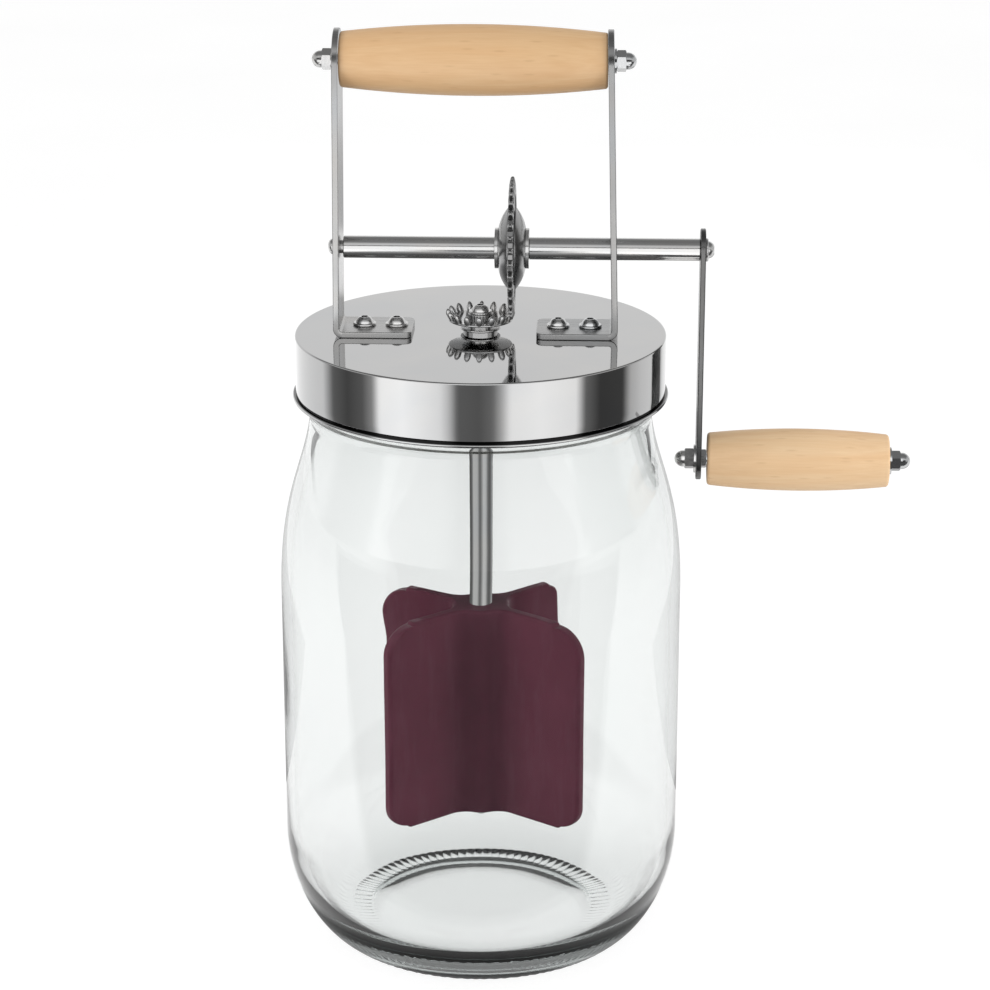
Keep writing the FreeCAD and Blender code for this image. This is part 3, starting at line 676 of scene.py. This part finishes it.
def bracket(name, node, look, face_x, foot_end, crank_hole, screws, splay):
    """Strip bent to an L. It is cut flat with rounded edges and then bent, as the real one is.

    splay is how much further out the upright stands at its bend than at the carry grip.
    """
    inward = 1 if foot_end > face_x else -1
    base_x = face_x - inward * splay
    outer_bend = BEND_IN + STRIP_T
    foot_run = abs(foot_end - base_x) - outer_bend
    bend_run = math.pi / 2 * (BEND_IN + STRIP_T / 2)
    axis_at = foot_run + bend_run - outer_bend      # flat length minus height, for points on the upright
    carry_at = axis_at + CARRY_Z - LID_TOP
    crank_at = axis_at + CRANK_Z - LID_TOP
    half = STRIP_W / 2
    corner = 3.0 * MM
    outline = join_points(
        arc_points((corner, -half + corner), corner, 180, 270, 8),
        [(carry_at, -half)],
        arc_points((carry_at, 0), half, -90, 90, 40),
        arc_points((corner, half - corner), corner, 90, 180, 8))
    holes = [circle_points((foot_run + outer_bend - abs(x - base_x), 0), BOLT_HOLE_R) for x in screws]
    holes.append(circle_points((carry_at, 0), BOLT_HOLE_R))
    holes.append(circle_points((crank_at, 0), crank_hole))
    bm = plate_bmesh(outline, holes, STRIP_T, STRIP_BEVEL)
    cuts = 14
    for k in range(cuts + 1):
        everything = list(bm.verts) + list(bm.edges) + list(bm.faces)
        place = foot_run + bend_run * k / cuts
        bmesh.ops.bisect_plane(bm, geom=everything, dist=1e-7, plane_co=(place, 0, 0), plane_no=(1, 0, 0))
    lean = splay / (CARRY_Z - LID_TOP - outer_bend)
    for v in bm.verts:
        length, y, depth = v.co
        if length <= foot_run:
            run, rise = foot_run + outer_bend - length, depth
        elif length >= foot_run + bend_run:
            rise = length - axis_at
            run = depth + lean * (rise - outer_bend)
        else:
            a = (length - foot_run) / bend_run * math.pi / 2
            run = outer_bend - (outer_bend - depth) * math.sin(a)
            rise = outer_bend - (outer_bend - depth) * math.cos(a)
        v.co = (base_x + inward * run, y, LID_TOP + rise)
    strip = finish_mesh(name, bm, sharp_degrees=40)
    stand_for(strip, look, "lid", node)


def brackets():
    left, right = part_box("left_bracket"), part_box("right_bracket")
    bracket("left_bracket_strip", "left_bracket", "strip", left[0].x, left[1].x,
            crank_hole=2.56 * MM, screws=(-43.9 * MM, -31.7 * MM), splay=1.0 * MM)
    bracket("right_bracket_strip", "right_bracket", "right_strip", right[1].x, right[0].x,
            crank_hole=4.26 * MM, screws=(29.4 * MM, 41.5 * MM), splay=2.4 * MM)


def crank_arm():
    """Flat bar with round ends and broken edges, from the crank axis down to the hand grip."""
    low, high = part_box("crank_arm")
    half = (high.y - low.y) / 2
    outline = arc_points((0, GRIP_Z), half, 180, 360, 40) + arc_points((0, CRANK_Z), half, 0, 180, 40)
    holes = [circle_points((0, z), BOLT_HOLE_R) for z in (GRIP_Z, CRANK_Z)]
    bm = plate_bmesh(outline, holes, high.x - low.x, 0.4 * MM)
    for v in bm.verts:
        v.co = (low.x + v.co.z, v.co.x, v.co.y)
    arm = finish_mesh("crank_arm_bar", bm, sharp_degrees=40)
    stand_for(arm, "arm", "crank", "crank_arm")


def end_screw():
    """Button-head screw with a hexagon socket on the crank shaft's left end, clear of the leaning upright."""
    low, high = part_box("crank_end_screw")
    clear = 0.45 * MM
    shank_r, head_r, head_top = 1.5 * MM, 3.0 * MM, 2.3 * MM
    socket_r, socket_floor, edge = 0.95 * MM, 1.2 * MM, 0.15 * MM
    face = low.x + head_top - clear
    tip = face - high.x
    outline = join_points(
        [(0, tip), (shank_r - edge, tip), (shank_r, tip + edge), (shank_r, 0)],
        arc_points((head_r - edge, edge), edge, -90, 0, 4),
        bezier_points([(head_r, 0.6 * MM), (2.95 * MM, 1.4 * MM),
                       (2.3 * MM, 2.15 * MM), (1.25 * MM, head_top)], 12),
        [(socket_r, head_top - 0.02 * MM), (socket_r, socket_floor), (0, socket_floor - edge)])

    def six_sided(radius, height, angle):
        if radius <= socket_r:
            radius /= math.cos(angle % (math.pi / 3) - math.pi / 6)
        return radius, height

    bm = bmesh.new()
    lathe(bm, outline, 48, six_sided, closed=False)
    for v in bm.verts:
        v.co = (face - v.co.z, v.co.y, CRANK_Z + v.co.x)
    screw = finish_mesh("crank_end_button_screw", bm, sharp_degrees=40)
    stand_for(screw, "hardware", "crank", "crank_end_screw")


# --- gears ----------------------------------------------------------------------------------------
GEAR_TEETH = 34
GEAR_R = 26.8 * MM
GEAR_ROOT_R = 23.4 * MM
GEAR_T = 2.2 * MM
PINION_TEETH = 16


def gear_outline():
    """Round-topped teeth with a tooth space straight below the axis."""
    pitch = 2 * math.pi / GEAR_TEETH
    height = GEAR_R - GEAR_ROOT_R
    # share of the pitch from a tooth's middle, share of the tooth's height
    flank = [(-0.30, 0.0), (-0.245, 0.12), (-0.20, 0.45), (-0.165, 0.72), (-0.12, 0.90), (-0.055, 0.985)]
    shape = flank + [(0.0, 1.0)] + [(-a, h) for a, h in reversed(flank)]
    points = []
    for tooth in range(GEAR_TEETH):
        centre = -math.pi / 2 + (tooth + 0.5) * pitch
        for share, lift in shape:
            a = centre + share * pitch
            r = GEAR_ROOT_R + height * lift
            points.append((r * math.cos(a), r * math.sin(a)))
    return points


def drive_gear():
    """Gear with rounded teeth, a raised rim and a thinner web turned into both faces."""
    rim_in, web_t = 20.8 * MM, 1.4 * MM
    bore, seat_r = 2.52 * MM, 13.7 * MM
    bm = plate_bmesh(gear_outline(), [circle_points((0, 0), rim_in, 96)], GEAR_T, 0.42 * MM)
    half, web = GEAR_T / 2, web_t / 2
    step = 0.3 * MM
    overlap = 0.6 * MM
    side = [(bore, half), (seat_r, half), (seat_r + step, web), (rim_in + overlap, web)]
    web_bm = bmesh.new()
    lathe(web_bm, side + [(r, -h) for r, h in reversed(side)], 96)
    web_mesh = bpy.data.meshes.new("web")
    web_bm.to_mesh(web_mesh)
    web_bm.free()
    bmesh.ops.translate(bm, verts=bm.verts, vec=(0, 0, -half))
    bm.from_mesh(web_mesh)
    bpy.data.meshes.remove(web_mesh)
    for v in bm.verts:
        out = (math.hypot(v.co.x, v.co.y) - GEAR_ROOT_R) / (GEAR_R - GEAR_ROOT_R)
        thin = 1 - 0.55 * max(out, 0) ** 2          # teeth are thinned and rounded towards their tips
        v.co = (GEAR_X + v.co.z * thin, v.co.x, CRANK_Z + v.co.y)
    gear = finish_mesh("drive_gear_wheel", bm, sharp_degrees=40)
    stand_for(gear, "gear", "crank", "drive_gear")


def pinion():
    """Crown pinion: a smooth hub with a lip, a dished disc and a ring of rounded pegs, one of them on +X."""
    bore, hub_r, lip_r = 3.02 * MM, 4.6 * MM, 7.6 * MM
    hub_low, hub_top = LID_TOP + 1.3 * MM, LID_TOP + 7.3 * MM
    lip_top, edge = LID_TOP + 2.1 * MM, 0.3 * MM
    dish_low, dish_r, dish_t = LID_TOP + 3.6 * MM, 12.2 * MM, 0.9 * MM
    rim_low = LID_TOP + 4.6 * MM
    round_r = dish_t / 2
    outline = join_points(
        [(bore, hub_low)],
        arc_points((lip_r - edge, hub_low + edge), edge, -90, 0, 4),
        arc_points((lip_r - edge, lip_top - edge), edge, 0, 90, 4),
        [(hub_r, lip_top), (hub_r, dish_low), (hub_r + 0.6 * MM, dish_low)],
        arc_points((dish_r - round_r, rim_low + round_r), round_r, -80, 100, 8),
        [(hub_r + 0.8 * MM, dish_low + dish_t), (hub_r, dish_low + dish_t + 0.4 * MM)],
        arc_points((hub_r - edge, hub_top - edge), edge, 0, 90, 4),
        [(bore, hub_top)])
    bm = bmesh.new()
    lathe(bm, outline, 96)
    foot_z, tip_z = rim_low + 0.3 * MM, LID_TOP + 8.8 * MM
    rings = (
        # share of the height, middle radius, half depth along the radius, half width round the crown
        (0.00, 11.05 * MM, 1.05 * MM, 1.02 * MM),
        (0.18, 11.25 * MM, 1.20 * MM, 1.18 * MM),
        (0.42, 11.60 * MM, 1.30 * MM, 1.26 * MM),
        (0.64, 11.90 * MM, 1.22 * MM, 1.16 * MM),
        (0.82, 12.10 * MM, 0.98 * MM, 0.90 * MM),
        (0.94, 12.22 * MM, 0.62 * MM, 0.56 * MM),
        (1.00, 12.28 * MM, 0.20 * MM, 0.18 * MM),
    )
    around, squareness = 14, 0.75
    for tooth in range(PINION_TEETH):
        turn = Matrix.Rotation(2 * math.pi * tooth / PINION_TEETH, 3, "Z")
        layers = []
        for share, middle, depth, width in rings:
            layer = []
            for k in range(around):
                a = 2 * math.pi * k / around
                # a rounded rectangle: the circle's cosine and sine pushed out towards the corners
                out = depth * math.copysign(abs(math.cos(a)) ** squareness, math.cos(a))
                side = width * math.copysign(abs(math.sin(a)) ** squareness, math.sin(a))
                z = foot_z + (tip_z - foot_z) * share
                layer.append(bm.verts.new(turn @ Vector((middle + out, side, z))))
            layers.append(layer)
        for under, over in zip(layers, layers[1:]):
            bridge(bm, under, over)
        bm.faces.new(layers[-1])
        bm.faces.new(list(reversed(layers[0])))
    wheel = finish_mesh("crown_pinion", bm, sharp_degrees=50)
    stand_for(wheel, "pinion", "dasher", "pinion")


# --- paddle ---------------------------------------------------------------------------------------
VANE_HALF = 2.3 * MM
HUB_R = 11 * MM
VALLEY_R = 8 * MM
TIP_R = 1.5 * MM
PADDLE_EDGE = 1.3 * MM
LOWER_CORNER_R = 9 * MM
SIDE_STEPS = 14
BORE_STEPS = 64
WAISTED_VANE = 2                    # the one behind on the left narrows a little below its top
WAIST_IN, WAIST_DROP, WAIST_RUN = 2.2 * MM, 9 * MM, 13 * MM
VANES = (
    # direction in degrees, reach, radius of the upper outer corner; in order round the axis
    (-36.0, 49 * MM, 12 * MM),
    (42.0, 38.6 * MM, 4 * MM),
    (150.0, 46 * MM, 11 * MM),
    (221.0, 46 * MM, 11 * MM),
)


def corner_reach(z, bottom, top, reach, upper):
    """A vane's reach at a height, shortened where its outer corners are rounded."""
    if z > top - upper:
        d = min(z - (top - upper), upper)
        return reach - upper + math.sqrt(max(upper * upper - d * d, 0))
    if z < bottom + LOWER_CORNER_R:
        d = min(bottom + LOWER_CORNER_R - z, LOWER_CORNER_R)
        return reach - LOWER_CORNER_R + math.sqrt(max(LOWER_CORNER_R ** 2 - d * d, 0))
    return reach


def plan_ring(inset, reaches):
    """The paddle's outline seen from above, drawn in by inset, with a given reach for each vane."""
    half = VANE_HALF - inset
    hub, valley = HUB_R - inset, VALLEY_R + inset
    tip = max(TIP_R - inset, 0.15 * MM)
    centre_r = HUB_R + VALLEY_R
    spread = math.degrees(math.asin((VANE_HALF + VALLEY_R) / centre_r))
    start_run = centre_r * math.cos(math.radians(spread))
    shares = [k / SIDE_STEPS for k in range(SIDE_STEPS + 1)]
    points = []
    for k, (direction, _, _) in enumerate(VANES):
        reach = reaches[k] - inset
        turn = Matrix.Rotation(math.radians(direction), 2)
        vane = [(start_run + (reach - tip - start_run) * share, -half) for share in shares]
        vane += arc_points((reach - tip, -half + tip), tip, -90, 0, 6)[1:]
        vane += arc_points((reach - tip, half - tip), tip, 0, 90, 6)
        vane += [(reach - tip + (start_run - reach + tip) * share, half) for share in shares[1:]]
        points += [tuple(turn @ Vector(p)) for p in vane]
        # the fillet beside this vane, the hub's arc, and the fillet beside the next vane
        following = VANES[(k + 1) % len(VANES)][0] + (360 if k + 1 == len(VANES) else 0)
        first, last = direction + spread, following - spread
        for centre_angle, from_angle, to_angle in (
                (first, direction - 90, first - 180), (last, last + 180, following + 90)):
            a = math.radians(centre_angle)
            centre = (centre_r * math.cos(a), centre_r * math.sin(a))
            swing = (to_angle - from_angle + 180) % 360 - 180
            stretch = arc_points(centre, valley, from_angle, from_angle + swing, 8)
            if centre_angle == first:
                points += stretch[1:]
                points += arc_points((0, 0), hub, first, last, 10)[1:-1]
            else:
                points += stretch[:-1]
    return points


def paddle():
    """Moulded four-vane paddle with soft edges, lofted from its plan outline."""
    low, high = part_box("paddle")
    bottom, top = low.z, high.z
    start, end = bottom + PADDLE_EDGE, top - PADDLE_EDGE
    upper = max(corner for _, _, corner in VANES)
    edge_steps = 5
    quarter = [math.pi / 2 * k / edge_steps for k in range(edge_steps + 1)]
    heights = [start + LOWER_CORNER_R * (1 - math.cos(math.pi / 2 * k / 12)) for k in range(1, 13)]
    heights += [heights[-1] + (end - upper - heights[-1]) * k / 20 for k in range(1, 21)]
    heights += [end - upper + upper * math.sin(math.pi / 2 * k / 16) for k in range(1, 17)]
    rounding = [(PADDLE_EDGE * math.sin(a), PADDLE_EDGE * (1 - math.cos(a))) for a in quarter]
    levels = [(start - run, inset) for run, inset in reversed(rounding)]
    levels += [(z, 0.0) for z in heights]
    levels += [(end + run, inset) for run, inset in rounding[1:]]
    bm = bmesh.new()
    rings = []
    for z, inset in levels:
        level = min(max(z, start), end)
        reaches = [corner_reach(level, start, end, reach, corner) for _, reach, corner in VANES]
        reaches[WAISTED_VANE] -= WAIST_IN * ease((end - WAIST_DROP - z) / WAIST_RUN)
        rings.append([bm.verts.new((x, y, z)) for x, y in plan_ring(inset, reaches)])
    for under, over in zip(rings, rings[1:]):
        bridge(bm, under, over)
    bore = 4.42 * MM
    bore_rings = []
    for ring, z in ((rings[0], levels[0][0]), (rings[-1], levels[-1][0])):
        hole = [bm.verts.new((x, y, z)) for x, y in circle_points((0, 0), bore, BORE_STEPS)]
        loops = []
        for loop in (ring, hole):
            for k in range(len(loop)):
                pair = (loop[k], loop[(k + 1) % len(loop)])
                loops.append(bm.edges.get(pair) or bm.edges.new(pair))
        bmesh.ops.triangle_fill(bm, use_beauty=True, edges=loops)
        bore_rings.append(hole)
    bridge(bm, bore_rings[1], bore_rings[0])
    piece = finish_mesh("churning_paddle", bm, sharp_degrees=50)
    piece.visible_glossy = False        # keeps the plum out of the steel
    stand_for(piece, "plum", "dasher", "paddle")


# --- stage ----------------------------------------------------------------------------------------
def stage_piece(name, bm, material, **seen_by):
    """Put a mesh on the stage, seen only by the kinds of ray that are named."""
    mesh = bpy.data.meshes.new(name)
    bm.to_mesh(mesh)
    bm.free()
    obj = bpy.data.objects.new(name, mesh)
    bpy.context.scene.collection.objects.link(obj)
    mesh.materials.append(material)
    for kind in ("camera", "diffuse", "glossy", "transmission", "shadow"):
        setattr(obj, "visible_" + kind, seen_by.get(kind, False))


def glowing(name, brightness):
    """Look that sends out a plain even light."""
    look = Look(name, Roughness=1.0, Specular_IOR_Level=0.0, Base_Color=(0, 0, 0, 1))
    look.shader.inputs["Emission Color"].default_value = (*WHITE, 1)
    look.shader.inputs["Emission Strength"].default_value = brightness
    return look


def glowing_sheet(name, corner, across, along, brightness, **seen_by):
    """Rectangle that glows evenly, spanned from one corner by two edges."""
    corner, across, along = Vector(corner), Vector(across), Vector(along)
    bm = bmesh.new()
    points = (corner, corner + across, corner + across + along, corner + along)
    bm.faces.new([bm.verts.new(p) for p in points])
    stage_piece(name, bm, glowing(name, brightness).material, **seen_by)


def floor():
    """Pale floor with a soft shadow. Steel reflects it dark in front of the churn and right under it."""
    bm = bmesh.new()
    bmesh.ops.create_grid(bm, x_segments=1, y_segments=1, size=6.0)
    look = Look("pale_floor", Roughness=0.9, Specular_IOR_Level=0.1)
    drift = look.grain(look.coordinates(), 4.0)
    pale = look.ramp(drift, (0.3, (0.37, 0.37, 0.37)), (0.7, (0.39, 0.39, 0.39)))
    matt, shiny, _ = look.path_kinds()
    where = look.coordinates()
    in_front = look.spread(look.axis(where, "Y"), 1.0, 0.0, -115 * MM, -105 * MM)
    under = look.spread(look.length(where), 0.78, 0.0, 74 * MM, 82 * MM)
    dark = look.sums("MULTIPLY", shiny, look.sums("MAXIMUM", in_front, under))
    look.colour(look.blend(dark, pale, (0.04, 0.04, 0.04)))
    look.shader.inputs["Emission Color"].default_value = (*WHITE, 1)
    light = look.spread(matt, 0.73, 0.50, 0, 1)     # its own glow, weaker as matt surfaces see it
    light = look.sums("MULTIPLY", light, look.spread(dark, 1.0, 0.07, 0, 1))
    look.link(light, look.shader.inputs["Emission Strength"])
    stage_piece("floor", bm, look.material,
                camera=True, diffuse=True, glossy=True, transmission=True, shadow=True)


RING_LIGHT = (
    # azimuth in degrees (0 in front, 90 on the crank's side), brightness that the lid's skirt reflects there
    (-130, 1.05), (-86, 0.94), (-77, 0.17), (-66, 0.09), (-56, 0.15), (-50, 0.40), (-46, 1.5),
    (-34, 1.6), (-16, 1.25), (-12, 0.85), (-8, 0.17), (2, 0.14), (8, 0.22), (12, 0.65), (16, 1.35),
    (30, 1.45), (48, 1.3), (53, 0.20), (62, 0.06), (78, 0.07), (84, 0.65), (94, 0.85), (105, 0.9),
    (112, 0.25), (117, 0.2), (127, 0.9),
)
SHAFT_LIGHT = (
    # azimuth in degrees, brightness that the upright shaft reflects there
    (-165, 0.16), (-112, 0.14), (-92, 0.30), (-74, 0.85), (-34, 0.80), (-14, 0.26), (-4, 0.24), (10, 0.55),
    (24, 0.95), (46, 0.85), (66, 0.30), (86, 0.17), (106, 0.25), (128, 0.60), (165, 0.25),
)


def light_ring(name, distance, low, high, strength, lights, **seen_by):
    """Upright band round the Z axis whose brightness changes with azimuth."""
    bm = bmesh.new()
    points = circle_points((0, 0), distance, 180)
    bridge(bm, *[[bm.verts.new((x, y, z)) for x, y in points] for z in (low, high)])
    top = max(light for _, light in lights)
    look = glowing(name, top * strength)
    around = look.node("ShaderNodeTexGradient", gradient_type="RADIAL")
    look.link(look.coordinates(turn=(0, 0, math.pi / 2)), around.inputs["Vector"])
    stops = [(azimuth / 360 + 0.5, (light / top,) * 3) for azimuth, light in lights]
    look.link(look.ramp(around.outputs["Fac"], *stops), look.shader.inputs["Emission Color"])
    stage_piece(name, bm, look.material, **seen_by)


def light_rings():
    """Bands of light and dark for the lid's skirt, and for the shaft inside the jar."""
    light_ring("skirt_ring", 140 * MM, 178 * MM, 250 * MM, 1.24, RING_LIGHT, glossy=True)
    light_ring("shaft_ring", 30 * MM, 120 * MM, 218 * MM, 1.0, SHAFT_LIGHT, glossy=True)


SKY_SIDE_LIGHT = 0.72
SKY_LIGHT = (
    # degrees from the horizon in front, over the top to the one behind; brightness steel reflects there
    (-60, 0.04), (26, 0.04), (31, 0.9), (50, 0.75), (60, 0.30), (100, 0.22), (138, 0.30), (149, 0.8),
    (154, 1.0), (180, 1.0),
)
GLASS_SKY_LIGHT = (
    # the same for light turned back inside the glass
    (-60, 0.10), (26, 0.06), (40, 0.62), (140, 0.70), (150, 1.0), (180, 1.0),
)


def world():
    """White surroundings. Steel sees bands of light and dark in them, and matt surfaces a weaker light."""
    made = bpy.data.worlds.new("white_studio")
    bpy.context.scene.world = made
    made.use_nodes = True
    made.cycles.sampling_method = "NONE"
    sky = Nodes(made.node_tree)
    background = sky.tree.nodes["Background"]
    matt, shiny, inside = sky.path_kinds()
    direction = sky.node("ShaderNodeTexCoord").outputs["Generated"]
    forward = sky.sums("MULTIPLY", sky.axis(direction, "Y"), -1.0)
    rise = sky.sums("ARCTAN2", sky.axis(direction, "Z"), forward)
    share = sky.sums("ADD", sky.sums("DIVIDE", rise, 2 * math.pi), 0.5)
    sideways = sky.spread(sky.sums("ABSOLUTE", sky.axis(direction, "X"), 0.0), 0.0, 1.0, 0.70, 0.90)

    def bands(lights, side_light):
        stops = [(degrees / 360 + 0.5, (light,) * 3) for degrees, light in lights]
        return sky.blend(sideways, sky.ramp(share, *stops), (side_light,) * 3)

    seen = sky.blend(inside, bands(SKY_LIGHT, SKY_SIDE_LIGHT), bands(GLASS_SKY_LIGHT, 1.0))
    sky.link(sky.blend(shiny, WHITE, seen), background.inputs["Color"])
    weaker = sky.sums("SUBTRACT", 1.0, sky.sums("MULTIPLY", matt, 0.35))
    sky.link(weaker, background.inputs["Strength"])


def reflector_sheets():
    """A dimmer sheet just above the floor behind and a bright upright strip in front, seen only in steel."""
    glowing_sheet("back_sheet", (-0.36, 0.12, 2 * MM), (0.72, 0, 0), (0, 1.38, 0), 0.55, glossy=True)
    glowing_sheet("front_strip", (-0.2, -0.16, 0.232), (0.4, 0, 0), (0, 0, 0.108), 1.5, glossy=True)


def lights():
    """Soft lights from both sides, the left one stronger, which steel and glass don't show."""
    aim = Vector((0, 0, 200 * MM))
    for name, place, size, power in (("left_light", (-1.0, -0.45, 0.55), 0.7, 7.0),
                                     ("right_light", (1.0, -0.35, 0.5), 0.6, 4.5)):
        light = bpy.data.lights.new(name, "AREA")
        light.size = size
        light.energy = power
        obj = bpy.data.objects.new(name, light)
        bpy.context.scene.collection.objects.link(obj)
        obj.location = place
        obj.rotation_euler = (aim - Vector(place)).to_track_quat("-Z", "Y").to_euler()
        obj.visible_camera = False
        obj.visible_glossy = False
        obj.visible_transmission = False


def camera():
    """Looks slightly down on the churn from the front, turned a little towards the crank."""
    turn = math.radians(2.2)
    pitch = math.radians(18.52)
    off_axis, distance, rise = 5.49 * MM, 1097.2 * MM, 302.2 * MM
    data = bpy.data.cameras.new("camera")
    data.lens = 109.09
    data.sensor_width = 36.0
    obj = bpy.data.objects.new("camera", data)
    bpy.context.scene.collection.objects.link(obj)
    obj.location = Matrix.Rotation(turn, 3, "Z") @ Vector((off_axis, -distance, LID_TOP + rise))
    obj.rotation_euler = (math.pi / 2 - pitch, 0, turn)
    data.clip_start, data.clip_end = 0.05, 50
    bpy.context.scene.camera = obj


dress_cad_nodes()
glass_jar()
sealing_ring()
lid_cap()
brackets()
crank_arm()
end_screw()
drive_gear()
pinion()
paddle()
floor()
world()
light_rings()
reflector_sheets()
lights()
camera()
bpy.context.scene.view_settings.view_transform = "Standard"
